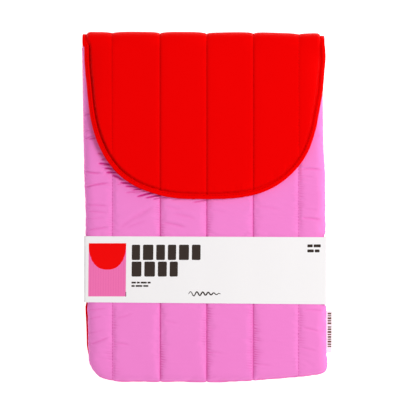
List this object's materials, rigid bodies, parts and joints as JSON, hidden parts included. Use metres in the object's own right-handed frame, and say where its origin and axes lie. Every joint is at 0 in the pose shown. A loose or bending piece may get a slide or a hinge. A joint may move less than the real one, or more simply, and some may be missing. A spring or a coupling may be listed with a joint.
{
  "type": "laptop sleeve",
  "caption": "Soft quilted laptop sleeve, open along one short end and closed by a rounded fold-over flap, with a removable card band and a side tag.",
  "frame": {"origin": "centre of the footprint, on the surface the sleeve lies on: the middle of the bounding box in X and Y and its bottom in Z", "axes": "+X to the sleeve's right, the side the tag is on; +Y along its length towards the fold of the flap; +Z out of its front, so it lies flat on its back"},
  "size_m": [0.261, 0.367, 0.037],
  "materials": {
    "pink_nylon": "soft satin woven nylon",
    "red_nylon": "soft satin woven nylon",
    "red_lining": "smooth woven lining",
    "white_wadding": "matt fibre wadding",
    "pink_thread": "twisted thread",
    "red_thread": "twisted thread",
    "red_binding": "folded woven tape",
    "pink_binding": "folded woven tape",
    "loop_tape": "brushed loop pile",
    "hook_tape": "moulded nylon hooks",
    "woven_label": "dense woven label",
    "white_card": "uncoated white card",
    "clear_adhesive": "dry glue film"
  },
  "bodies": {
    "sleeve": {"back_shell": "red_nylon", "back_wadding": "white_wadding", "back_lining": "red_lining", "front_shell": "pink_nylon", "front_wadding": "white_wadding", "front_lining": "red_lining", "mouth_binding": "pink_binding", "seam_binding": "red_binding", "loop_patch": "loop_tape", "care_label": "woven_label", "front_stitch_1": "pink_thread", "front_stitch_2": "pink_thread", "front_stitch_3": "pink_thread", "front_stitch_4": "pink_thread", "front_stitch_5": "pink_thread", "back_stitch_1": "red_thread", "back_stitch_2": "red_thread", "back_stitch_3": "red_thread", "back_stitch_4": "red_thread", "back_stitch_5": "red_thread"},
    "spine": {"spine_shell": "red_nylon", "spine_wadding": "white_wadding", "spine_lining": "red_lining", "spine_binding_left": "red_binding", "spine_binding_right": "red_binding", "spine_stitch_1": "red_thread", "spine_stitch_2": "red_thread", "spine_stitch_3": "red_thread", "spine_stitch_4": "red_thread", "spine_stitch_5": "red_thread"},
    "flap": {"flap_shell": "red_nylon", "flap_wadding": "white_wadding", "flap_lining": "red_lining", "flap_binding": "red_binding", "hook_patch": "hook_tape", "flap_stitch_1": "red_thread", "flap_stitch_2": "red_thread", "flap_stitch_3": "red_thread", "flap_stitch_4": "red_thread", "flap_stitch_5": "red_thread"},
    "tag": {"side_tag": "woven_label"},
    "band": {"belly_band": "white_card", "band_adhesive": "clear_adhesive"}
  },
  "joints": [
    {"name": "spine_bend", "type": "hinge", "parent": "sleeve", "child": "spine", "pos_m": [-0.00354, 0.17963, 0.00507], "axis": [-1, 0, 0], "range_deg": [0, 90]},
    {"name": "flap_bend", "type": "hinge", "parent": "spine", "child": "flap", "pos_m": [-0.00354, 0.17963, 0.03313], "axis": [-1, 0, 0], "range_deg": [0, 90]},
    {"name": "tag_flex", "type": "hinge", "parent": "sleeve", "child": "tag", "pos_m": [0.12266, -0.13025, 0.015], "axis": [0, 1, 0], "range_deg": [-75, 75], "stiffness_Nm_per_rad": 0.0006},
    {"name": "band_slide", "type": "slide", "parent": "sleeve", "child": "band", "axis": [0, -1, 0], "range_m": [0, 0.17], "deforming": ["side_tag"]}
  ],
  "couplings": [
    {"joint": "flap_bend", "follows": "spine_bend", "ratio": 1}
  ]
}
